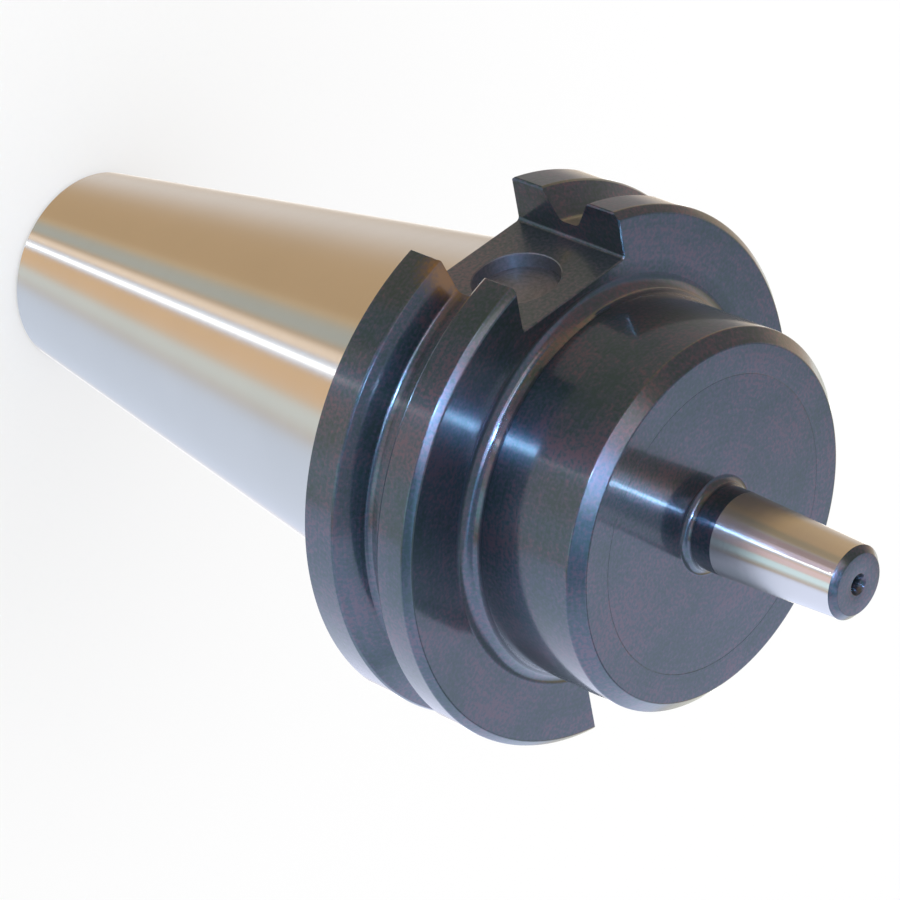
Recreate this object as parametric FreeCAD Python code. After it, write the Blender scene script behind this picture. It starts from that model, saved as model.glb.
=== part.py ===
import FreeCAD
import Part
import math
import os

# Drill chuck arbor: a 7:24 steep-taper shank of size 40 with a V-groove flange, a short body and a short
# self-holding chuck taper on the nose. One piece of steel. Sizes are in millimetres.
# +Z runs along the tool axis towards the nose, and the origin is the centre of the gauge plane, where the
# steep taper has its gauge diameter. The drive slots lie on the Y axis.

# Shank
GAUGE_DIAMETER = 44.45
SHANK_LENGTH = 68.25
SHANK_TAPER = 7 / 24
SMALL_END_EDGE = 0.4

# Hole for the retention knob, in the small end
PILOT_DIAMETER = 16.28
PILOT_DEPTH = 4.78
PILOT_MOUTH_CHAMFER = 0.5
KNOB_TAP_DIAMETER = 13.49
KNOB_TAP_DEPTH = 38.0
DRILL_POINT_ANGLE = 118.0

# Flange
FLANGE_DIAMETER = 63.5
FLANGE_REAR = 3.175
FLANGE_WIDTH = 15.875
FLANGE_ROOT_CHAMFER = 0.8
FLANGE_REAR_EDGE = 0.3
FLANGE_FRONT_BEVEL = 0.8

# V-groove for the tool changer's gripper
GROOVE_CENTRE_FROM_REAR = 7.9375
GROOVE_WIDTH = 6.82
GROOVE_DEPTH = 3.57
GROOVE_ANGLE = 60.0
GROOVE_BOTTOM_FILLET = 1.0
GROOVE_EDGE = 0.2

# Drive slots: the distance of each floor from the axis differs, so that the arbor fits one way round
SLOT_WIDTH = 16.38
MARKED_SLOT_FLOOR = 25.02
PLAIN_SLOT_FLOOR = 22.61
SLOT_FLOOR_FILLET = 0.5
SLOT_MOUTH_RADIUS = 0.3
SLOT_MOUTH_OVERRUN = 0.03
SLOT_FRONT_BEVEL = 0.15
SLOT_CUTTER_OVERRUN = 4.0

# Round pocket in the floor of the marked slot, a little off the slot's middle
POCKET_DIAMETER = 10.0
POCKET_DEPTH = 1.8
POCKET_OFFSET = 0.88
POCKET_RIM_CHAMFER = 0.1

# Body
BODY_DIAMETER = 44.45
BODY_LENGTH = 15.875
BODY_ROOT_FILLET = 2.0
BODY_FRONT_CHAMFER = 1.5

# Neck and chuck taper
NECK_DIAMETER = 9.8
NECK_LENGTH = 3.5
NECK_ROOT_FILLET = 1.0
CHUCK_TAPER_LARGE_DIAMETER = 9.754
CHUCK_TAPER_SMALL_DIAMETER = 8.469
CHUCK_TAPER_LENGTH = 16.669
NOSE_CHAMFER = 0.7

# Centre hole in the nose
CENTRE_HOLE_DIAMETER = 2.5
CENTRE_HOLE_ANGLE = 60.0
CENTRE_DRILL_DIAMETER = 1.1
CENTRE_DRILL_DEPTH = 3.4

# Heights above the gauge plane
flange_front = FLANGE_REAR + FLANGE_WIDTH
groove_centre = FLANGE_REAR + GROOVE_CENTRE_FROM_REAR
body_front = flange_front + BODY_LENGTH
chuck_taper_start = body_front + NECK_LENGTH
nose_end = chuck_taper_start + CHUCK_TAPER_LENGTH
small_end = -SHANK_LENGTH


def corner(radius, height, chamfer=0.0, fillet=0.0):
    """One corner of the turned outline, with the chamfer or fillet that finishes it."""
    return {"at": FreeCAD.Vector(radius, 0, height), "chamfer": chamfer, "fillet": fillet}


def turned_outline(corners):
    """Closed wire in the XZ plane through the corners, each finished as it says."""
    count = len(corners)
    ends = []
    for i, here in enumerate(corners):
        back = (corners[i - 1]["at"] - here["at"]).normalize()
        onward = (corners[(i + 1) % count]["at"] - here["at"]).normalize()
        half_angle = back.getAngle(onward) / 2
        cut = here["chamfer"] or here["fillet"] / math.tan(half_angle)
        entry = here["at"] + back * cut
        leave = here["at"] + onward * cut
        middle = None
        if here["fillet"]:
            bisector = (back + onward).normalize()
            to_arc = here["fillet"] * (1 / math.sin(half_angle) - 1)
            middle = here["at"] + bisector * to_arc
        ends.append((entry, middle, leave))
    edges = []
    for i, (entry, middle, leave) in enumerate(ends):
        if middle:
            edges.append(Part.Arc(entry, middle, leave).toShape())
        elif (entry - leave).Length > 1e-7:
            edges.append(Part.LineSegment(entry, leave).toShape())
        next_entry = ends[(i + 1) % count][0]
        edges.append(Part.LineSegment(leave, next_entry).toShape())
    return Part.Wire(edges)


def turned_blank():
    """The arbor as it leaves the lathe and the grinder, before the slots are milled."""
    gauge_radius = GAUGE_DIAMETER / 2
    small_radius = gauge_radius - SHANK_LENGTH * SHANK_TAPER / 2
    flange_radius = FLANGE_DIAMETER / 2
    body_radius = BODY_DIAMETER / 2
    neck_radius = NECK_DIAMETER / 2
    tap_radius = KNOB_TAP_DIAMETER / 2
    pilot_radius = PILOT_DIAMETER / 2
    centre_radius = CENTRE_HOLE_DIAMETER / 2
    drill_radius = CENTRE_DRILL_DIAMETER / 2

    groove_bottom_radius = flange_radius - GROOVE_DEPTH
    flank_run = GROOVE_DEPTH * math.tan(math.radians(GROOVE_ANGLE / 2))
    groove_top = GROOVE_WIDTH / 2
    groove_bottom = groove_top - flank_run

    tap_end = small_end + KNOB_TAP_DEPTH
    tap_tip = tap_end + tap_radius / math.tan(math.radians(DRILL_POINT_ANGLE / 2))
    cone_depth = (centre_radius - drill_radius) / math.tan(math.radians(CENTRE_HOLE_ANGLE / 2))
    drill_end = nose_end - CENTRE_DRILL_DEPTH
    drill_tip = drill_end - drill_radius / math.tan(math.radians(DRILL_POINT_ANGLE / 2))

    outline = [
        # knob hole, from its drill point out to the small end
        corner(0, tap_tip),
        corner(tap_radius, tap_end),
        corner(tap_radius, small_end + PILOT_DEPTH),
        corner(pilot_radius, small_end + PILOT_DEPTH),
        corner(pilot_radius, small_end, chamfer=PILOT_MOUTH_CHAMFER),
        # steep taper up to the gauge plane, then the short cylinder behind the flange
        corner(small_radius, small_end, chamfer=SMALL_END_EDGE),
        corner(gauge_radius, 0),
        corner(gauge_radius, FLANGE_REAR, chamfer=FLANGE_ROOT_CHAMFER),
        # flange with its V-groove
        corner(flange_radius, FLANGE_REAR, chamfer=FLANGE_REAR_EDGE),
        corner(flange_radius, groove_centre - groove_top, chamfer=GROOVE_EDGE),
        corner(groove_bottom_radius, groove_centre - groove_bottom, fillet=GROOVE_BOTTOM_FILLET),
        corner(groove_bottom_radius, groove_centre + groove_bottom, fillet=GROOVE_BOTTOM_FILLET),
        corner(flange_radius, groove_centre + groove_top, chamfer=GROOVE_EDGE),
        corner(flange_radius, flange_front, chamfer=FLANGE_FRONT_BEVEL),
        # body
        corner(body_radius, flange_front, fillet=BODY_ROOT_FILLET),
        corner(body_radius, body_front, chamfer=BODY_FRONT_CHAMFER),
        # neck, chuck taper and centre hole
        corner(neck_radius, body_front, fillet=NECK_ROOT_FILLET),
        corner(neck_radius, chuck_taper_start),
        corner(CHUCK_TAPER_LARGE_DIAMETER / 2, chuck_taper_start),
        corner(CHUCK_TAPER_SMALL_DIAMETER / 2, nose_end, chamfer=NOSE_CHAMFER),
        corner(centre_radius, nose_end),
        corner(drill_radius, nose_end - cone_depth),
        corner(drill_radius, drill_end),
        corner(0, drill_tip),
    ]
    section = Part.Face(turned_outline(outline))
    return section.revolve(FreeCAD.Vector(0, 0, 0), FreeCAD.Vector(0, 0, 1), 360)


def slot_section(height, floor, growth):
    """Section of the slot cutter at one height, grown all round by the bevel where it has one.

    The slot opens towards +Y. Its lower corners are rounded. Its mouth flares on an arc that runs a little past
    the flange's rim, and so ends there in a blunt edge.
    """
    rim = FLANGE_DIAMETER / 2
    half = SLOT_WIDTH / 2
    mouth_reach = rim + SLOT_MOUTH_OVERRUN - SLOT_MOUTH_RADIUS
    mouth_x = half + SLOT_MOUTH_RADIUS
    mouth_y = math.sqrt(mouth_reach ** 2 - mouth_x ** 2)
    mouth_radius = SLOT_MOUTH_RADIUS - growth
    fillet = SLOT_FLOOR_FILLET + growth
    centre_x = half - SLOT_FLOOR_FILLET
    centre_y = floor + SLOT_FLOOR_FILLET
    diagonal = math.sqrt(0.5)
    outside = rim + SLOT_CUTTER_OVERRUN

    rim_angle = math.atan2(mouth_y, mouth_x)
    mouth_end = (mouth_x + mouth_radius * math.cos(rim_angle), mouth_y + mouth_radius * math.sin(rim_angle))
    middle_angle = (math.pi + rim_angle) / 2
    mouth_middle = (mouth_x + mouth_radius * math.cos(middle_angle), mouth_y + mouth_radius * math.sin(middle_angle))

    def at(x, y):
        return FreeCAD.Vector(x, y, height)

    def side(sign):
        return {
            "floor": at(sign * centre_x, floor - growth),
            "fillet": at(sign * (centre_x + diagonal * fillet), centre_y - diagonal * fillet),
            "wall": at(sign * (half + growth), centre_y),
            "flare": at(sign * (half + growth), mouth_y),
            "mouth": at(sign * mouth_middle[0], mouth_middle[1]),
            "rim": at(sign * mouth_end[0], mouth_end[1]),
            "outside": at(sign * mouth_x * outside / mouth_reach, outside),
        }

    left = side(-1)
    right = side(1)
    edges = [
        Part.LineSegment(left["floor"], right["floor"]),
        Part.Arc(right["floor"], right["fillet"], right["wall"]),
        Part.LineSegment(right["wall"], right["flare"]),
        Part.Arc(right["flare"], right["mouth"], right["rim"]),
        Part.LineSegment(right["rim"], right["outside"]),
        Part.LineSegment(right["outside"], left["outside"]),
        Part.LineSegment(left["outside"], left["rim"]),
        Part.Arc(left["rim"], left["mouth"], left["flare"]),
        Part.LineSegment(left["flare"], left["wall"]),
        Part.Arc(left["wall"], left["fillet"], left["floor"]),
    ]
    return Part.Wire([edge.toShape() for edge in edges])


def slot_cutter(floor):
    """What the mill takes out for one drive slot, with the bevel round its front edge."""
    start = FLANGE_REAR - SLOT_CUTTER_OVERRUN
    bevel_start = flange_front - SLOT_FRONT_BEVEL
    straight = Part.Face(slot_section(start, floor, 0)).extrude(FreeCAD.Vector(0, 0, bevel_start - start))
    sections = [slot_section(bevel_start, floor, 0), slot_section(flange_front, floor, SLOT_FRONT_BEVEL)]
    bevel = Part.makeLoft(sections, True, True)
    run_out = Part.Face(slot_section(flange_front, floor, 0)).extrude(FreeCAD.Vector(0, 0, SLOT_CUTTER_OVERRUN))
    return straight.fuse([bevel, run_out])


def pocket_cutter():
    """The flat-bottomed pocket, sunk from the marked slot's floor, with its rim broken."""
    outward = FreeCAD.Vector(0, -1, 0)
    radius = POCKET_DIAMETER / 2
    bottom = FreeCAD.Vector(POCKET_OFFSET, -(MARKED_SLOT_FLOOR - POCKET_DEPTH), groove_centre)
    bore = Part.makeCylinder(radius, POCKET_DEPTH + SLOT_CUTTER_OVERRUN, bottom, outward)
    rim = FreeCAD.Vector(POCKET_OFFSET, -(MARKED_SLOT_FLOOR - POCKET_RIM_CHAMFER), groove_centre)
    mouth = Part.makeCone(radius, radius + 2 * POCKET_RIM_CHAMFER, 2 * POCKET_RIM_CHAMFER, rim, outward)
    return bore.fuse(mouth)


def build_arbor():
    plain_slot = slot_cutter(PLAIN_SLOT_FLOOR)
    marked_slot = slot_cutter(MARKED_SLOT_FLOOR)
    marked_slot.rotate(FreeCAD.Vector(0, 0, 0), FreeCAD.Vector(0, 0, 1), 180)
    return turned_blank().cut([plain_slot, marked_slot, pocket_cutter()])


arbor = build_arbor()
solid = arbor.Solids[0]
print("solids", len(arbor.Solids), "valid", arbor.isValid(), "volume", round(solid.Volume, 1))
print("box", [round(v, 3) for v in (solid.BoundBox.XMin, solid.BoundBox.YMin, solid.BoundBox.ZMin)],
      [round(v, 3) for v in (solid.BoundBox.XMax, solid.BoundBox.YMax, solid.BoundBox.ZMax)])

os.makedirs("parts", exist_ok=True)
solid.exportStep("parts/arbor.step")
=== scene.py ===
import math

import bmesh
import bpy
from mathutils import Matrix, Vector


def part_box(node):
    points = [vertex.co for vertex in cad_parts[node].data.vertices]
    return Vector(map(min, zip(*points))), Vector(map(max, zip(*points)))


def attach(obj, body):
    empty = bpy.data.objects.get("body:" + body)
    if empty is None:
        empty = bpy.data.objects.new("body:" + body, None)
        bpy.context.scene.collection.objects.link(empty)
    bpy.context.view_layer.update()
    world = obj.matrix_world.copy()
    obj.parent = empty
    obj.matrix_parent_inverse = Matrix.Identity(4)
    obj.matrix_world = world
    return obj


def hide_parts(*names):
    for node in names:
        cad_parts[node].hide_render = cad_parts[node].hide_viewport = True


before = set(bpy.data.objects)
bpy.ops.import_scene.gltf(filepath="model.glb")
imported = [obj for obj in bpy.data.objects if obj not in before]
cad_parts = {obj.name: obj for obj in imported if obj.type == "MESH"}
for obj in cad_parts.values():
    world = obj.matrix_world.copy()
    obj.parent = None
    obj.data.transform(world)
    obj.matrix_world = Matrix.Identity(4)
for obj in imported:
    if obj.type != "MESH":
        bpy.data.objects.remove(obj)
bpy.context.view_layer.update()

mm = 0.001

# The view: the arbor stands on its small end, and the camera looks down past the nose at the flange's front,
# rolled so that the shank runs off to the upper left of the picture.
CAMERA_PLACE = (252.28, -264.946, 293.832)
CAMERA_TURN = (-25.524, -45.663, 166.751)
LENS = 163.97
SENSOR = 36.0
CLIP_START = 10.0

camera_data = bpy.data.cameras.new("camera")
camera_data.sensor_width = SENSOR
camera_data.lens = LENS
camera_data.clip_start = CLIP_START * mm
camera = bpy.data.objects.new("camera", camera_data)
camera.location = [length * mm for length in CAMERA_PLACE]
camera.rotation_euler = [math.radians(turn) for turn in CAMERA_TURN]
bpy.context.scene.collection.objects.link(camera)
bpy.context.scene.camera = camera

# The arbor is one piece of steel, turned between centres: nose, body, V-groove flange and a shank with
# a taper of 7 in 24 on its diameter. Its outline is drawn from the nose's centre hole down to the knob
# hole's drill point and swept round the axis.
low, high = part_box("arbor")
NOSE_END = high.z / mm
SMALL_END = low.z / mm
FLANGE_RADIUS = high.x / mm
GAUGE_RADIUS = 22.225
SHANK_SLOPE = 7 / 48
SHANK_ROOT_FILLET = 0.8
SMALL_END_CHAMFER = 0.4
FLANGE_REAR = 3.175
FLANGE_REAR_CHAMFER = 0.3
FLANGE_FRONT = 19.05
FLANGE_BEVEL = 0.8
GROOVE_CENTRE = 11.1125
GROOVE_HALF = 3.41
GROOVE_DEPTH = 3.57
GROOVE_FLANK = 30.0
GROOVE_CHAMFER = 0.2
GROOVE_FILLET = 1.0
BODY_RADIUS = 22.225
BODY_FRONT = 34.925
BODY_CHAMFER = 1.5
BODY_ROOT_FILLET = 2.0
FACE_RING = 17.3
FACE_RING_DEPTH = 0.03
FLANGE_RING = 25.6
FLANGE_RING_DEPTH = 0.01
RING_HALF = 0.06
NECK_RADIUS = 4.9
NECK_FILLET = 1.0
CHUCK_TAPER_START = 38.425
CHUCK_TAPER_LARGE = 4.877
CHUCK_TAPER_SMALL = 4.2345
NOSE_CHAMFER = 0.7
CENTRE_HOLE = 1.25
CENTRE_HOLE_ANGLE = 60.0
CENTRE_HOLE_EDGE = 0.08
CENTRE_DRILL = 0.55
CENTRE_DRILL_DEPTH = 3.4
PILOT_RADIUS = 8.14
PILOT_DEPTH = 4.78
PILOT_CHAMFER = 0.5
PILOT_FILLET = 0.2
TAP_RADIUS = 6.745
TAP_DEPTH = 38.0
THREAD_MAJOR = 7.94
THREAD_LENGTH = 26.0
THREAD_RUN_OUT = 0.8
DRILL_POINT = 118.0
BROKEN_EDGE = 0.1
RUBBED_EDGE = 0.35
ARC_STEP = math.radians(13)


def corner(radius, height, round_off=BROKEN_EDGE, chamfer=0.0):
    """A corner of the outline, with the radius that rounds it and its chamfer's length along either side."""
    return {"at": Vector((radius, height)), "round": round_off, "chamfer": chamfer}


def with_chamfers(corners):
    """Each chamfered corner becomes the two corners at the chamfer's ends."""
    result = []
    for i, here in enumerate(corners):
        if here["chamfer"]:
            back = (corners[i - 1]["at"] - here["at"]).normalized()
            onward = (corners[i + 1]["at"] - here["at"]).normalized()
            for way in (back, onward):
                end = here["at"] + way * here["chamfer"]
                result.append(corner(end.x, end.y, here["round"]))
        else:
            result.append(here)
    return result


def rounded(corners):
    """The outline's points, with each corner drawn as an arc of its own radius."""
    points = [corners[0]["at"]]
    for i in range(1, len(corners) - 1):
        here = corners[i]["at"]
        back = (corners[i - 1]["at"] - here).normalized()
        onward = (corners[i + 1]["at"] - here).normalized()
        turn = math.pi - back.angle(onward)
        radius = corners[i]["round"]
        if radius == 0 or turn < ARC_STEP / 4:
            points.append(here)
            continue
        centre = here + (back + onward).normalized() * radius / math.cos(turn / 2)
        start = here + back * radius * math.tan(turn / 2) - centre
        way = 1 if back.x * onward.y - back.y * onward.x < 0 else -1
        steps = max(2, math.ceil(turn / ARC_STEP))
        for k in range(steps + 1):
            points.append(centre + Matrix.Rotation(way * turn * k / steps, 2) @ start)
    points.append(corners[-1]["at"])
    return points


drill_point_slope = math.tan(math.radians(DRILL_POINT / 2))
centre_hole_depth = (CENTRE_HOLE - CENTRE_DRILL) / math.tan(math.radians(CENTRE_HOLE_ANGLE / 2))
groove_bottom = FLANGE_RADIUS - GROOVE_DEPTH
groove_bottom_half = GROOVE_HALF - GROOVE_DEPTH * math.tan(math.radians(GROOVE_FLANK))
small_radius = GAUGE_RADIUS + SMALL_END * SHANK_SLOPE
drill_end = NOSE_END - CENTRE_DRILL_DEPTH
tap_end = SMALL_END + TAP_DEPTH
thread_end = SMALL_END + PILOT_DEPTH + THREAD_LENGTH

arbor_outline = rounded(with_chamfers([
    # centre hole and nose
    corner(0, drill_end - CENTRE_DRILL / drill_point_slope),
    corner(CENTRE_DRILL, drill_end, 0),
    corner(CENTRE_DRILL, NOSE_END - centre_hole_depth, 0),
    corner(CENTRE_HOLE, NOSE_END, CENTRE_HOLE_EDGE),
    corner(CHUCK_TAPER_SMALL, NOSE_END, chamfer=NOSE_CHAMFER),
    corner(CHUCK_TAPER_LARGE, CHUCK_TAPER_START, 0),
    corner(NECK_RADIUS, CHUCK_TAPER_START, 0),
    corner(NECK_RADIUS, BODY_FRONT, NECK_FILLET),
    # body, with the ring that the lathe tool left on its face
    corner(FACE_RING - RING_HALF, BODY_FRONT, 0),
    corner(FACE_RING, BODY_FRONT - FACE_RING_DEPTH, 0),
    corner(FACE_RING + RING_HALF, BODY_FRONT, 0),
    corner(BODY_RADIUS, BODY_FRONT, RUBBED_EDGE, BODY_CHAMFER),
    corner(BODY_RADIUS, FLANGE_FRONT, BODY_ROOT_FILLET),
    # flange with another such ring and its V-groove
    corner(FLANGE_RING - RING_HALF, FLANGE_FRONT, 0),
    corner(FLANGE_RING, FLANGE_FRONT - FLANGE_RING_DEPTH, 0),
    corner(FLANGE_RING + RING_HALF, FLANGE_FRONT, 0),
    corner(FLANGE_RADIUS, FLANGE_FRONT, RUBBED_EDGE, FLANGE_BEVEL),
    corner(FLANGE_RADIUS, GROOVE_CENTRE + GROOVE_HALF, chamfer=GROOVE_CHAMFER),
    corner(groove_bottom, GROOVE_CENTRE + groove_bottom_half, GROOVE_FILLET),
    corner(groove_bottom, GROOVE_CENTRE - groove_bottom_half, GROOVE_FILLET),
    corner(FLANGE_RADIUS, GROOVE_CENTRE - GROOVE_HALF, chamfer=GROOVE_CHAMFER),
    corner(FLANGE_RADIUS, FLANGE_REAR, chamfer=FLANGE_REAR_CHAMFER),
    corner(GAUGE_RADIUS, FLANGE_REAR, SHANK_ROOT_FILLET),
    # steep taper
    corner(GAUGE_RADIUS, 0),
    corner(small_radius, SMALL_END, chamfer=SMALL_END_CHAMFER),
    # knob hole
    corner(PILOT_RADIUS, SMALL_END, chamfer=PILOT_CHAMFER),
    corner(PILOT_RADIUS, SMALL_END + PILOT_DEPTH, PILOT_FILLET),
    corner(THREAD_MAJOR, SMALL_END + PILOT_DEPTH, 0),
    corner(THREAD_MAJOR, thread_end, 0),
    corner(TAP_RADIUS, thread_end + THREAD_RUN_OUT, 0),
    corner(TAP_RADIUS, tap_end, 0),
    corner(0, tap_end + TAP_RADIUS / drill_point_slope),
]))

# Two drive slots are milled through the flange, the marked one shallower, with a round pocket in its floor.
# Each cutter is a closed form of rings, one above the other, and its last rings leave the bevel.
SLOT_HALF = 8.19
SLOT_MOUTH_RADIUS = 0.3
SLOT_MOUTH_OVERRUN = 0.03
SLOT_FLOOR_FILLET = 0.5
SLOT_BEVEL = 0.15
MARKED_SLOT_FLOOR = 25.02
PLAIN_SLOT_FLOOR = 22.61
CUTTER_OVERRUN = 4.0
BEVEL_OVERRUN = 0.03
POCKET_RADIUS = 5.0
POCKET_DEPTH = 1.8
POCKET_OFFSET = 0.88
POCKET_RIM = 0.1
POCKET_POINTS = 96
ARC_POINTS = 8


def arc(centre, radius, start, end):
    steps = [start + (end - start) * k / ARC_POINTS for k in range(ARC_POINTS + 1)]
    return [(centre[0] + radius * math.cos(turn), centre[1] + radius * math.sin(turn)) for turn in steps]


def slot_ring(floor, growth):
    """The slot's section, open towards +Y, with rounded floor corners and a mouth that flares to the rim."""
    reach = FLANGE_RADIUS + SLOT_MOUTH_OVERRUN - SLOT_MOUTH_RADIUS
    mouth_x = SLOT_HALF + SLOT_MOUTH_RADIUS
    mouth_y = math.sqrt(reach ** 2 - mouth_x ** 2)
    outside = FLANGE_RADIUS + CUTTER_OVERRUN
    floor_centre = (SLOT_HALF - SLOT_FLOOR_FILLET, floor + SLOT_FLOOR_FILLET)
    right = arc(floor_centre, SLOT_FLOOR_FILLET + growth, -math.pi / 2, 0)
    right += arc((mouth_x, mouth_y), SLOT_MOUTH_RADIUS - growth, math.pi, math.atan2(mouth_y, mouth_x))
    right.append((mouth_x * outside / reach, outside))
    left = [(-x, y) for x, y in reversed(right)]
    return right + left


def cutter(name, rings):
    """A closed form through the rings of points, which all have the same count."""
    form = bmesh.new()
    loops = [[form.verts.new(Vector(point) * mm) for point in ring] for ring in rings]
    count = len(loops[0])
    for below, above in zip(loops, loops[1:]):
        for k in range(count):
            n = (k + 1) % count
            form.faces.new((below[k], below[n], above[n], above[k]))
    form.faces.new(reversed(loops[0]))
    form.faces.new(loops[-1])
    bmesh.ops.recalc_face_normals(form, faces=form.faces)
    mesh = bpy.data.meshes.new(name)
    form.to_mesh(mesh)
    form.free()
    return bpy.data.objects.new(name, mesh)


def slot_cutter(name, floor, side):
    steps = [
        (FLANGE_REAR - CUTTER_OVERRUN, 0),
        (FLANGE_FRONT - SLOT_BEVEL, 0),
        (FLANGE_FRONT + BEVEL_OVERRUN, SLOT_BEVEL + BEVEL_OVERRUN),
        (FLANGE_FRONT + BEVEL_OVERRUN, 0),
        (FLANGE_FRONT + CUTTER_OVERRUN, 0),
    ]
    rings = []
    for height, growth in steps:
        rings.append([(side * x, side * y, height) for x, y in slot_ring(floor, growth)])
    return cutter(name, rings)


def pocket_cutter():
    bottom = MARKED_SLOT_FLOOR - POCKET_DEPTH
    steps = [
        (bottom, POCKET_RADIUS),
        (MARKED_SLOT_FLOOR - POCKET_RIM, POCKET_RADIUS),
        (MARKED_SLOT_FLOOR + POCKET_RIM, POCKET_RADIUS + 2 * POCKET_RIM),
        (MARKED_SLOT_FLOOR + CUTTER_OVERRUN, POCKET_RADIUS + 2 * POCKET_RIM),
    ]
    turns = [math.tau * k / POCKET_POINTS for k in range(POCKET_POINTS)]
    rings = []
    for depth, radius in steps:
        rings.append([(
            POCKET_OFFSET + radius * math.cos(turn),
            -depth,
            GROOVE_CENTRE + radius * math.sin(turn),
        ) for turn in turns])
    return cutter("pocket_cutter", rings)


cutters = {
    "Marked slot": slot_cutter("marked_slot_cutter", MARKED_SLOT_FLOOR, -1),
    "Plain slot": slot_cutter("plain_slot_cutter", PLAIN_SLOT_FLOOR, 1),
    "Pocket": pocket_cutter(),
}


# Every tree of nodes below is written as Python expressions: a Wire is what comes out of a node, sums and
# products of wires add Math nodes, and any other node comes from a Wiring's one method.
class Wire:
    """An output of a node, which takes part in sums and products like a number."""

    def __init__(self, wiring, node, socket):
        self.wiring = wiring
        self.from_node = node
        self.socket = socket

    def out(self, name):
        return Wire(self.wiring, self.from_node, self.from_node.outputs[name])

    def maths(self, operation, *values):
        return self.wiring.node("ShaderNodeMath", {"operation": operation}, dict(enumerate(values)))

    def __add__(self, other):
        return self.maths("ADD", self, other)

    def __sub__(self, other):
        return self.maths("SUBTRACT", self, other)

    def __mul__(self, other):
        return self.maths("MULTIPLY", self, other)

    def __truediv__(self, other):
        return self.maths("DIVIDE", self, other)

    def __rsub__(self, other):
        return self.maths("SUBTRACT", other, self)

    def __lt__(self, other):
        return self.maths("LESS_THAN", self, other)

    def __gt__(self, other):
        return self.maths("GREATER_THAN", self, other)

    __radd__ = __add__
    __rmul__ = __mul__


class Wiring:
    """A tree of nodes that is put together by writing it down."""

    def __init__(self, tree):
        self.tree = tree

    def node(self, kind, settings=None, inputs=None, output=0):
        """A new node with its settings, and its sockets' values or wires, where a list is several wires."""
        node = self.tree.nodes.new(kind)
        for name, value in (settings or {}).items():
            if name == "stops":
                self.set_stops(node.color_ramp, value)
            else:
                setattr(node, name, value)
        for name, value in (inputs or {}).items():
            for one in value if isinstance(value, list) else [value]:
                if isinstance(one, Wire):
                    self.tree.links.new(one.socket, node.inputs[name])
                else:
                    node.inputs[name].default_value = one
        return Wire(self, node, node.outputs[output]) if node.outputs else None

    def set_stops(self, ramp, stops):
        while len(ramp.elements) < len(stops):
            ramp.elements.new(1)
        for element, (place, colour) in zip(ramp.elements, stops):
            element.position = place
            element.color = (*colour, 1)

    def mixed(self, share, first, second):
        """A mix of two colours, each a wire or three numbers."""
        first, second = (one if isinstance(one, Wire) else (*one, 1) for one in (first, second))
        return self.node("ShaderNodeMix", {"data_type": "RGBA"}, {0: share, 6: first, 7: second}, output=2)


# The small end is tapped for the retention knob: eleven turns to the inch, right-handed. The tree sweeps
# the outline, cuts slots and pocket, lays the thread's ridge in the bore, with ends that sink into its wall,
# and tells ground surfaces from oxide ones.
THREAD_PITCH = 25.4 / 11
THREAD_SUNK = 0.1
THREAD_CREST = 0.35
THREAD_FOOT_SHARE = 0.86
THREAD_FADE_TURNS = 0.35
THREAD_FADE_WIDENING = 0.15
ROUND_STEPS = 360
TURN_STEPS = 72
MERGE_DISTANCE = 0.002
SHARP_ANGLE = math.radians(32)
GROUND_DEPTH = 0.3
GROUND_START = 0.35
NOSE_CORE_RADIUS = 3.9

outline_curve = bpy.data.curves.new("arbor_outline", "CURVE")
outline_curve.dimensions = "3D"
spline = outline_curve.splines.new("POLY")
spline.points.add(len(arbor_outline) - 1)
for point, place in zip(spline.points, arbor_outline):
    point.co = ((place.x - FLANGE_RADIUS) * mm, -place.y * mm, 0, 1)

turning = bpy.data.node_groups.new("turning", "GeometryNodeTree")
face = turning.interface
face.new_socket("Outline", in_out="INPUT", socket_type="NodeSocketGeometry")
for name in cutters:
    face.new_socket(name, in_out="INPUT", socket_type="NodeSocketObject")
numbers = ("Sweep radius", "Thread radius", "Thread depth", "Thread pitch", "Thread start", "Thread turns")
for name in numbers:
    face.new_socket(name, in_out="INPUT", socket_type="NodeSocketFloat")
face.new_socket("Steps round", in_out="INPUT", socket_type="NodeSocketInt")
face.new_socket("Ground steel", in_out="INPUT", socket_type="NodeSocketMaterial")
face.new_socket("Black oxide", in_out="INPUT", socket_type="NodeSocketMaterial")
face.new_socket("Arbor", in_out="OUTPUT", socket_type="NodeSocketGeometry")

work = Wiring(turning)
given = work.node("NodeGroupInput")
sweep_circle = work.node("GeometryNodeCurvePrimitiveCircle", {"mode": "RADIUS"}, {
    "Resolution": given.out("Steps round"),
    "Radius": given.out("Sweep radius"),
})
swept = work.node("GeometryNodeCurveToMesh", None, {
    "Curve": sweep_circle,
    "Profile Curve": given.out("Outline"),
})
blank = work.node("GeometryNodeMergeByDistance", None, {"Geometry": swept, "Distance": MERGE_DISTANCE * mm})

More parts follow.
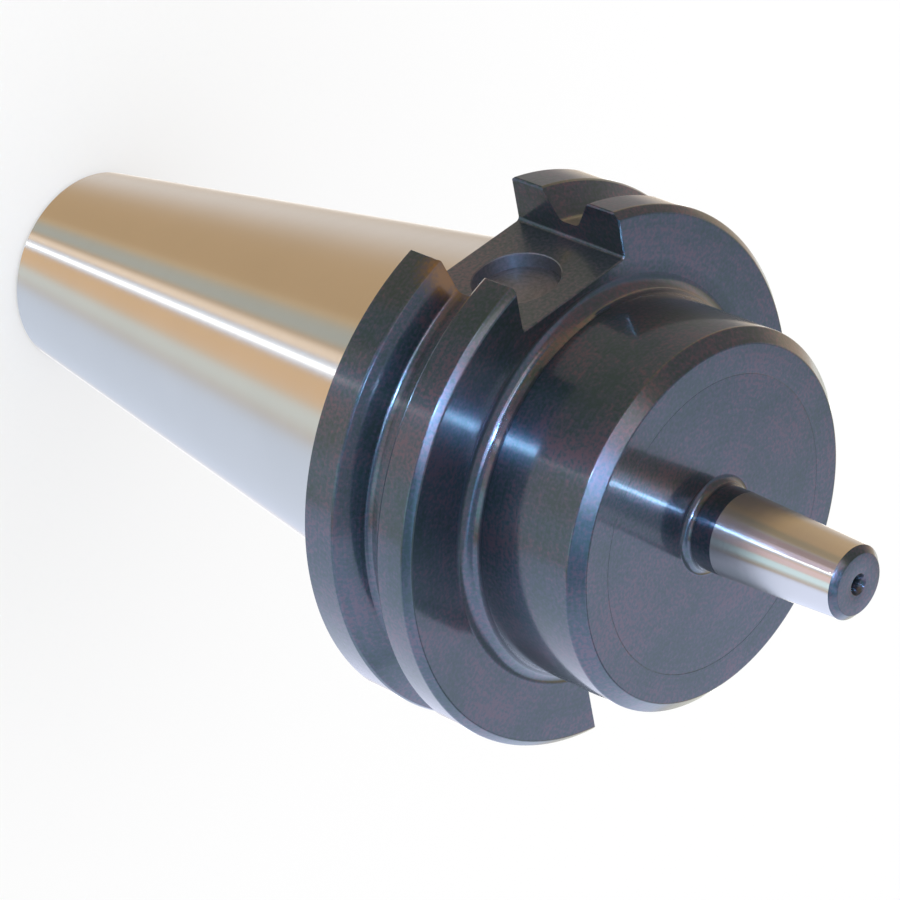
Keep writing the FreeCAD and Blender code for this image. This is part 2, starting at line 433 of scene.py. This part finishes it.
helix = work.node("GeometryNodeCurveSpiral", None, {
    "Resolution": TURN_STEPS,
    "Rotations": given.out("Thread turns"),
    "Start Radius": given.out("Thread radius"),
    "End Radius": given.out("Thread radius"),
    "Height": given.out("Thread turns") * given.out("Thread pitch"),
    "Reverse": False,
})
helix_place = work.node("ShaderNodeCombineXYZ", None, {"Z": given.out("Thread start")})
helix = work.node("GeometryNodeTransform", None, {"Geometry": helix, "Translation": helix_place})
along = work.node("GeometryNodeSplineParameter", output="Factor")
to_end = (along.maths("MINIMUM", along, 1 - along) * given.out("Thread turns")) / THREAD_FADE_TURNS
full = to_end.maths("MINIMUM", to_end, 1)
widening = 1 + (1 - full) * THREAD_FADE_WIDENING
helix = work.node("GeometryNodeSetPosition", None, {
    "Geometry": helix,
    "Position": work.node("ShaderNodeVectorMath", {"operation": "MULTIPLY"}, {
        0: work.node("GeometryNodeInputPosition"),
        1: work.node("ShaderNodeCombineXYZ", None, {"X": widening, "Y": widening, "Z": 1.0}),
    }),
})
helix = work.node("GeometryNodeSetCurveNormal", {"mode": "Z_UP"}, {"Curve": helix})
ridge_section = work.node("GeometryNodeCurvePrimitiveQuadrilateral", {"mode": "TRAPEZOID"}, {
    "Height": given.out("Thread depth"),
    "Bottom Width": given.out("Thread pitch") * THREAD_FOOT_SHARE,
    "Top Width": THREAD_CREST * mm,
    "Offset": 0.0,
})
ridge_section = work.node("GeometryNodeTransform", None, {
    "Geometry": ridge_section,
    "Rotation": (0, 0, math.pi / 2),
})
ridge = work.node("GeometryNodeCurveToMesh", None, {
    "Curve": helix,
    "Profile Curve": ridge_section,
    "Fill Caps": True,
})

cut_away = []
for name in cutters:
    cut_away.append(work.node("GeometryNodeObjectInfo", None, {"Object": given.out(name)}).out("Geometry"))
cut = work.node("GeometryNodeMeshBoolean", {"operation": "DIFFERENCE", "solver": "MANIFOLD"}, {
    "Mesh 1": blank,
    "Mesh 2": cut_away,
})
cut = work.node("GeometryNodeJoinGeometry", None, {"Geometry": [cut, ridge]})

smooth = work.node("GeometryNodeSetShadeSmooth", {"domain": "FACE"}, {
    "Geometry": cut,
    "Shade Smooth": True,
})
edge_angle = work.node("GeometryNodeInputMeshEdgeAngle")
smooth = work.node("GeometryNodeSetShadeSmooth", {"domain": "EDGE"}, {
    "Geometry": smooth,
    "Selection": edge_angle > SHARP_ANGLE,
    "Shade Smooth": False,
})

place = work.node("GeometryNodeInputPosition")
apart = work.node("ShaderNodeSeparateXYZ", None, {"Vector": place})
height = apart.out("Z")
flat_place = work.node("ShaderNodeCombineXYZ", None, {"X": apart.out("X"), "Y": apart.out("Y")})
radius = work.node("ShaderNodeVectorMath", {"operation": "LENGTH"}, {0: flat_place}, output="Value")
shank_surface = height * SHANK_SLOPE + GAUGE_RADIUS * mm
on_shank = (radius > shank_surface - GROUND_DEPTH * mm) * (height < 0)
on_shank = on_shank * (height > (SMALL_END + GROUND_START) * mm)
on_nose = (radius > NOSE_CORE_RADIUS * mm) * (height > CHUCK_TAPER_START * mm)
on_nose = on_nose * (height < (NOSE_END - NOSE_CHAMFER) * mm)
finished = work.node("GeometryNodeSetMaterial", None, {
    "Geometry": smooth,
    "Material": given.out("Black oxide"),
})
finished = work.node("GeometryNodeSetMaterial", None, {
    "Geometry": finished,
    "Selection": on_shank + on_nose,
    "Material": given.out("Ground steel"),
})
finished = work.node("GeometryNodeRealizeInstances", None, {"Geometry": finished})
work.node("NodeGroupOutput", None, {"Arbor": finished})

# Ground steel: the shank and the chuck taper are ground bright, with fine marks round the axis that draw
# every reflection out along it.
GREY_STEEL = (0.58, 0.57, 0.555)
PALE_STEEL = (0.63, 0.615, 0.6)
BLOTCHES_SCALE = 90.0
GRINDING_SCALE = (60, 60, 4500)
GRINDING_DEPTH = 0.0004
GRINDING_ROUGHNESS = 0.06
GROUND_ROUGHNESS = 0.16
GROUND_STRETCH = 0.95
ALONG_THE_AXIS = 0.25

ground_steel = bpy.data.materials.new("ground_steel")
ground_steel.use_nodes = True
ground_steel.node_tree.nodes.clear()
steel = Wiring(ground_steel.node_tree)
steel_place = steel.node("ShaderNodeTexCoord", output="Object")
grinding_place = steel.node("ShaderNodeMapping", None, {"Vector": steel_place, "Scale": GRINDING_SCALE})
grinding = steel.node("ShaderNodeTexNoise", None, {
    "Vector": grinding_place,
    "Scale": 1.0,
    "Detail": 3.0,
    "Roughness": 0.6,
})
blotches = steel.node("ShaderNodeTexNoise", None, {
    "Vector": steel_place,
    "Scale": BLOTCHES_SCALE,
    "Detail": 3.0,
})
steel_bump = steel.node("ShaderNodeBump", None, {
    "Strength": 0.1,
    "Distance": GRINDING_DEPTH * mm,
    "Height": grinding,
})
steel_shader = steel.node("ShaderNodeBsdfPrincipled", None, {
    "Base Color": steel.mixed(blotches, GREY_STEEL, PALE_STEEL),
    "Metallic": 1.0,
    "Roughness": grinding * GRINDING_ROUGHNESS + GROUND_ROUGHNESS,
    "Anisotropic": GROUND_STRETCH,
    "Anisotropic Rotation": ALONG_THE_AXIS,
    "Normal": steel_bump,
})
steel.node("ShaderNodeOutputMaterial", None, {"Surface": steel_shader})

# Black oxide: flange, body, neck and both ends are left as turned and blackened, a thin glossy skin over
# fine turning marks, with faint green, blue and violet clouds. The drilled pocket is rough, with rings round
# its own axis, and one end of the groove is rubbed brown beside the marked slot.
GREEN_BLACK = (0.018, 0.052, 0.060)
BLUE_BLACK = (0.035, 0.060, 0.092)
VIOLET_BLACK = (0.088, 0.066, 0.100)
RUBBED_BROWN = (0.26, 0.14, 0.055)
# the pocket's own drilled grey, which on the slot's floor is also painted light for the light its rough face
# gathers
DRILLED_GREY_AND_FLOOR_LIGHT = (0.28, 0.29, 0.33)
WORN_PLACE = (8.6, -28.9, 9.0)
WORN_REACH = 4.0
WORN_GRAIN = 3.0
WORN_CLOUDS = 4.0
MASK_MARGIN = 0.1
MARKS_SCALE = 2600.0
RINGS_SCALE = 1800.0
GRAIN_SCALE = 2400.0
CLOUDS_SCALE = 150.0
GRAIN_IN_COLOUR = 0.45
MARKS_IN_COLOUR = 0.2
CLOUDS_IN_COLOUR = 0.35
RINGS_IN_POCKET = 0.5
GRAIN_IN_POCKET = 0.6
PAINTED_LIGHT_ON_FLOOR = 0.35
RELIEF_UNIT = 0.01
MARKS_RELIEF = 2.5
CLOUDS_RELIEF = 16.0
POCKET_RINGS_RELIEF = 4.0
POCKET_GRAIN_RELIEF = 5.0
OXIDE_ROUGHNESS = 0.25
MARKS_ROUGHNESS = 0.1
POCKET_ROUGHNESS = 0.2
SLOT_ROUGHNESS = 0.07
FILLET_SMOOTHNESS = 0.12
POCKET_COAT_LOSS = 0.8
SLOT_COAT_LOSS = 0.4

black_oxide = bpy.data.materials.new("black_oxide")
black_oxide.use_nodes = True
black_oxide.node_tree.nodes.clear()
oxide = Wiring(black_oxide.node_tree)
oxide_place = oxide.node("ShaderNodeTexCoord", output="Object")
oxide_parts = oxide.node("ShaderNodeSeparateXYZ", None, {"Vector": oxide_place})
oxide_round = oxide.node("ShaderNodeMapping", None, {"Vector": oxide_place, "Scale": (1, 1, 0)})
oxide_radius = oxide.node("ShaderNodeVectorMath", {"operation": "LENGTH"}, {0: oxide_round}, output="Value")
ring_place = oxide.node("ShaderNodeCombineXYZ", None, {"X": oxide_radius, "Y": oxide_parts.out("Z")})
turning_marks = oxide.node("ShaderNodeTexNoise", None, {
    "Vector": ring_place,
    "Scale": MARKS_SCALE,
    "Detail": 3.0,
    "Roughness": 0.6,
})
grain = oxide.node("ShaderNodeTexNoise", None, {
    "Vector": oxide_place,
    "Scale": GRAIN_SCALE,
    "Detail": 3.0,
})
clouds = oxide.node("ShaderNodeTexNoise", None, {
    "Vector": oxide_place,
    "Scale": CLOUDS_SCALE,
    "Detail": 4.0,
})


def between(value, lowest, highest):
    """1 where a length lies between two lengths in millimetres, and 0 elsewhere."""
    return (value > lowest * mm) * (value < highest * mm)


from_pocket = oxide.node("ShaderNodeVectorMath", {"operation": "SUBTRACT"}, {
    0: oxide_place,
    1: (POCKET_OFFSET * mm, 0, GROOVE_CENTRE * mm),
})
pocket_flat = oxide.node("ShaderNodeMapping", None, {"Vector": from_pocket, "Scale": (1, 0, 1)})
pocket_radius = oxide.node("ShaderNodeVectorMath", {"operation": "LENGTH"}, {0: pocket_flat}, output="Value")
pocket_mouth = MARKED_SLOT_FLOOR - POCKET_RIM / 2
pocket_bottom = MARKED_SLOT_FLOOR - POCKET_DEPTH - MASK_MARGIN
in_pocket = between(oxide_parts.out("Y"), -pocket_mouth, -pocket_bottom)
in_pocket = in_pocket * (pocket_radius < (POCKET_RADIUS + POCKET_RIM / 2) * mm)
pocket_rings = oxide.node("ShaderNodeTexNoise", {"noise_dimensions": "1D"}, {
    "W": pocket_radius,
    "Scale": RINGS_SCALE,
    "Detail": 2.0,
})
slot_side = oxide_parts.maths("ABSOLUTE", oxide_parts.out("X")) < (SLOT_HALF + MASK_MARGIN) * mm
in_slot = slot_side * (oxide_parts.out("Y") < -(MARKED_SLOT_FLOOR - MASK_MARGIN) * mm) * (1 - in_pocket)
on_floor = in_slot * (oxide_parts.out("Y") > -(MARKED_SLOT_FLOOR + MASK_MARGIN) * mm)
in_root = between(oxide_parts.out("Z"), FLANGE_FRONT, FLANGE_FRONT + BODY_ROOT_FILLET)
in_root = in_root * (oxide_radius < (BODY_RADIUS + BODY_ROOT_FILLET) * mm)
at_neck = between(oxide_parts.out("Z"), BODY_FRONT, BODY_FRONT + NECK_FILLET)
at_neck = at_neck * (oxide_radius < (NECK_RADIUS + NECK_FILLET) * mm)
in_fillet = in_root + at_neck

from_worn = oxide.node("ShaderNodeVectorMath", {"operation": "DISTANCE"}, {
    0: oxide_place,
    1: tuple(length * mm for length in WORN_PLACE),
}, output="Value")
worn = oxide.node("ShaderNodeMapRange", {"interpolation_type": "SMOOTHSTEP"}, {
    "Value": from_worn + ((grain - 0.5) * WORN_GRAIN + (clouds - 0.5) * WORN_CLOUDS) * mm,
    "From Min": WORN_REACH * mm,
    "From Max": 0.0,
})
skin = oxide.node("ShaderNodeValToRGB", {"stops": [
    (0.41, GREEN_BLACK),
    (0.50, BLUE_BLACK),
    (0.59, VIOLET_BLACK),
]}, {"Fac": grain * GRAIN_IN_COLOUR + turning_marks * MARKS_IN_COLOUR + clouds * CLOUDS_IN_COLOUR})
skin = oxide.mixed(worn, skin, RUBBED_BROWN)
# The pocket is mixed towards a lighter drilled grey, with rings round its own axis. On the slot's floor the
# same grey, speckled in by the grain, is painted light: it stands in for the light that the rough milled
# floor gathers from the room.
drilled = in_pocket * (pocket_rings * RINGS_IN_POCKET + grain * GRAIN_IN_POCKET)
skin = oxide.mixed(drilled + on_floor * grain * PAINTED_LIGHT_ON_FLOOR, skin, DRILLED_GREY_AND_FLOOR_LIGHT)
relief = turning_marks * (1 - in_pocket) * MARKS_RELIEF + grain + clouds * CLOUDS_RELIEF
relief = relief + in_pocket * (pocket_rings * POCKET_RINGS_RELIEF + grain * POCKET_GRAIN_RELIEF)
oxide_bump = oxide.node("ShaderNodeBump", None, {
    "Strength": 0.6,
    "Distance": RELIEF_UNIT * mm,
    "Height": relief,
})
roughness = turning_marks * MARKS_ROUGHNESS + OXIDE_ROUGHNESS + in_pocket * POCKET_ROUGHNESS
roughness = roughness + in_slot * SLOT_ROUGHNESS - in_fillet * FILLET_SMOOTHNESS
oxide_shader = oxide.node("ShaderNodeBsdfPrincipled", None, {
    "Base Color": skin,
    "Metallic": 0.88,
    "Roughness": roughness,
    "Anisotropic": 0.5,
    "Anisotropic Rotation": ALONG_THE_AXIS,
    "Coat Weight": 1 - in_pocket * POCKET_COAT_LOSS - in_slot * SLOT_COAT_LOSS,
    "Coat IOR": 1.6,
    "Coat Roughness": 0.1,
    "Sheen Weight": 0.02,
    "Sheen Roughness": 0.6,
    "Sheen Tint": (1.0, 0.95, 0.85, 1),
    "Normal": oxide_bump,
})
oxide.node("ShaderNodeOutputMaterial", None, {"Surface": oxide_shader})

# The finished arbor: the tree is evaluated once and kept as a plain mesh on the fixed body. The empty
# material slot that the outline's curve brings along is taken off, and the cutters go.
thread_depth = THREAD_MAJOR + THREAD_SUNK - TAP_RADIUS
sizes = {
    "Sweep radius": FLANGE_RADIUS * mm,
    "Thread radius": (TAP_RADIUS + thread_depth / 2) * mm,
    "Thread depth": thread_depth * mm,
    "Thread pitch": THREAD_PITCH * mm,
    "Thread start": (SMALL_END + PILOT_DEPTH + THREAD_PITCH / 2) * mm,
    "Thread turns": (THREAD_LENGTH - THREAD_PITCH) / THREAD_PITCH,
    "Steps round": ROUND_STEPS,
    "Ground steel": ground_steel,
    "Black oxide": black_oxide,
    **cutters,
}
blank_object = bpy.data.objects.new("blank", outline_curve)
bpy.context.scene.collection.objects.link(blank_object)
modifier = blank_object.modifiers.new("turning", "NODES")
modifier.node_group = turning
for socket in turning.interface.items_tree:
    if socket.in_out == "INPUT" and socket.name in sizes:
        modifier[socket.identifier] = sizes[socket.name]
for tool in cutters.values():
    bpy.context.scene.collection.objects.link(tool)
evaluated = blank_object.evaluated_get(bpy.context.evaluated_depsgraph_get())
arbor_mesh = bpy.data.meshes.new_from_object(evaluated)
arbor_mesh.name = "arbor_finished"
arbor_mesh.materials.pop(index=0)
blank_object.modifiers.clear()
bpy.data.objects.remove(blank_object)
for tool in cutters.values():
    bpy.data.objects.remove(tool)

arbor = bpy.data.objects.new("arbor_finished", arbor_mesh)
bpy.context.scene.collection.objects.link(arbor)
flats = arbor.modifiers.new("flats", "WEIGHTED_NORMAL")
flats.keep_sharp = True
flats.weight = 50
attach(arbor, "root")
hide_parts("arbor")

# The floor is a plain white sheet that keeps a soft shadow of the arbor. To the camera a share of its light
# is its own, so that it stays white, and the metal mirrors the studio in its place.
FLOOR_HALF = 1.5
FLOOR_GREY = 0.9
FLOOR_GLOW = 0.55

floor_mesh = bpy.data.meshes.new("floor")
floor_corners = [(x * FLOOR_HALF, y * FLOOR_HALF, low.z) for x, y in ((-1, -1), (1, -1), (1, 1), (-1, 1))]
floor_mesh.from_pydata(floor_corners, [], [(0, 1, 2, 3)])
floor = bpy.data.objects.new("floor", floor_mesh)
bpy.context.scene.collection.objects.link(floor)
floor.visible_glossy = False

floor_white = bpy.data.materials.new("floor_white")
floor_white.use_nodes = True
floor_white.node_tree.nodes.clear()
paper = Wiring(floor_white.node_tree)
seen = paper.node("ShaderNodeLightPath", output="Is Camera Ray")
matt = paper.node("ShaderNodeBsdfDiffuse", None, {"Color": (FLOOR_GREY, FLOOR_GREY, FLOOR_GREY, 1)})
glow = paper.node("ShaderNodeEmission", None, {"Color": (1, 1, 1, 1), "Strength": 1.0})
sheet = paper.node("ShaderNodeMixShader", None, {0: seen * FLOOR_GLOW, 1: matt, 2: glow})
paper.node("ShaderNodeOutputMaterial", None, {"Surface": sheet})
floor_mesh.materials.append(floor_white)

# The studio: white light all round for everything matt, while the metal mirrors cards, walls and lamps round
# the arbor, each laid over the ones before it. A card has the azimuth of its middle, from +X towards +Y,
# half its width and its soft edge in degrees, the sines of its lowest and highest elevation, and its colour.
WARM_WALL = (0.72, 0.5, 0.28)
CARDS = {
    # the wall behind the shank, and a white sheet beside it
    "cream wall": (180, 24, 26, -1.0, 1.0, (1.0, 0.92, 0.85)),
    "amber wall": (-150, 26, 26, -0.55, 0.3, (0.85, 0.6, 0.33)),
    "white sheet": (134, 18, 4, -1.0, 0.1, (2.0, 2.0, 1.95)),
    "shaded top of the sheet": (132, 20, 6, -0.5, 0.1, (0.82, 0.82, 0.74)),
    "brown board": (170, 12, 8, -0.2, 0.15, (0.8, 0.6, 0.42)),
    # the cool side of the room
    "blue floor": (62, 50, 5, -1.0, 1.0, (0.84, 0.94, 1.1)),
    "blue wall": (60, 47, 7, -0.69, 1.0, (1.15, 1.27, 1.6)),
    # low cards towards the camera, which the shank mirrors from left to right
    "thin amber card": (-81, 1.5, 1, -1.0, -0.7, (0.98, 0.78, 0.46)),
    "green card": (-70, 8, 3, -1.0, 0.3, (0.6, 0.65, 0.6)),
    "thin cream card": (-54, 4, 1.5, -1.0, 0.3, (1.35, 1.1, 0.85)),
    "pale card": (-43, 6.5, 1.5, -1.0, 0.3, (0.92, 1.0, 1.15)),
    "wide amber card": (-24, 12, 4, -1.0, 0.3, (1.0, 0.68, 0.38)),
    "grey card": (-3, 9, 4, -1.0, 0.3, (0.9, 0.95, 0.9)),
    # the same higher up, which the nose mirrors
    "dark upper card": (-88, 10, 6, -0.6, 0.3, (0.5, 0.4, 0.25)),
    "brown upper card": (-66, 9, 3, -0.6, 0.3, (0.55, 0.4, 0.4)),
    "violet upper card": (-50, 7, 3, -0.6, 0.3, (1.05, 0.88, 1.05)),
    "rose upper card": (-26, 8, 3, -0.6, 0.3, (1.25, 0.95, 0.95)),
    "cool upper card": (-10, 8, 3, -0.6, 0.3, (1.15, 1.5, 1.6)),
    "strip lamp": (-43, 1.3, 0.5, -1.0, 0.3, (4.2, 4.2, 4.2)),
    # skirting that the body and the flange mirror, dark to the left and light to the right
    "dark skirting": (-118, 78, 10, -0.66, -0.55, (0.3, 0.28, 0.28)),
    "middle skirting": (-17, 23, 8, -0.66, -0.55, (0.9, 0.85, 0.9)),
    "light skirting": (61, 52, 10, -0.66, -0.55, (1.1, 1.15, 1.4)),
    # overhead: dark corners, pale ceiling, a window with blue sky, lamps, and the light over the camera
    "dark corner": (-150, 36, 14, 0.0, 1.0, (0.42, 0.32, 0.27)),
    "blue corner": (-15, 45, 14, 0.3, 1.0, (0.5, 0.6, 0.8)),
    "blue ceiling": (-5, 30, 12, 0.74, 0.83, (0.9, 1.5, 2.2)),
    "dim wall": (-55, 50, 12, 0.5, 0.64, (0.42, 0.48, 0.62)),
    "warm ceiling": (-80, 20, 12, 0.7, 0.83, (2.4, 2.0, 2.0)),
    "window": (-44, 20, 10, 0.68, 0.83, (3.3, 4.1, 6.0)),
    "window sill": (-57, 26, 8, 0.65, 0.675, (11.0, 12.0, 14.5)),
    "blue lamp": (-46, 2, 3, 0.57, 0.66, (78.0, 145.0, 225.0)),
    "grey corner": (130, 48, 12, 0.5, 1.0, (0.4, 0.42, 0.5)),
    "light over the camera": (129, 7, 5, 0.1, 1.0, (1.04, 1.09, 1.37)),
    "zenith": (0, 180, 1, 0.86, 1.0, (0.6, 0.62, 0.7)),
}
HEIGHT_SOFT = 0.02

world = bpy.data.worlds.new("studio")
world.use_nodes = True
world.node_tree.nodes.clear()
bpy.context.scene.world = world
studio = Wiring(world.node_tree)
direction = studio.node("ShaderNodeTexCoord", output="Generated")
ways = studio.node("ShaderNodeSeparateXYZ", None, {"Vector": direction})
azimuth = ways.maths("ARCTAN2", ways.out("Y"), ways.out("X"))
rise = ways.out("Z")


def edge(value, outer, inner):
    """A card's cover, which rises smoothly from 0 at its outer edge to 1 at its inner one."""
    return studio.node("ShaderNodeMapRange", {"interpolation_type": "SMOOTHSTEP"}, {
        "Value": value,
        "From Min": outer,
        "From Max": inner,
    })


cards = WARM_WALL
for middle, half, soft, lowest, highest, colour in CARDS.values():
    aside = azimuth.maths("WRAP", azimuth - math.radians(middle), -math.pi, math.pi)
    aside = aside.maths("ABSOLUTE", aside)
    cover = edge(aside, math.radians(half + soft), math.radians(half - soft))
    if lowest > -1:
        cover = cover * edge(rise, lowest - HEIGHT_SOFT, lowest + HEIGHT_SOFT)
    if highest < 1:
        cover = cover * edge(rise, highest + HEIGHT_SOFT, highest - HEIGHT_SOFT)
    cards = studio.mixed(cover, cards, colour)
mirrored = studio.node("ShaderNodeBackground", None, {"Color": cards, "Strength": 1.0})
plain = studio.node("ShaderNodeBackground", None, {"Color": (1, 1, 1, 1), "Strength": 1.0})
is_mirror = studio.node("ShaderNodeLightPath", output="Is Glossy Ray")
surroundings = studio.node("ShaderNodeMixShader", None, {0: is_mirror, 1: plain, 2: mirrored})
studio.node("ShaderNodeOutputWorld", None, {"Surface": surroundings})

# A soft lamp over the arbor gives the floor its shadow, and the metal doesn't mirror it.
LAMP_PLACE = (-0.25, -0.35, 0.9)
LAMP_SIZE = 0.8
LAMP_POWER = 2.0

lamp_data = bpy.data.lights.new("soft_lamp", "AREA")
lamp_data.shape = "DISK"
lamp_data.size = LAMP_SIZE
lamp_data.energy = LAMP_POWER
lamp = bpy.data.objects.new("soft_lamp", lamp_data)
lamp.location = LAMP_PLACE
lamp.rotation_euler = Vector(LAMP_PLACE).to_track_quat("Z", "Y").to_euler()
lamp.visible_glossy = False
bpy.context.scene.collection.objects.link(lamp)

bpy.context.scene.view_settings.view_transform = "Standard"
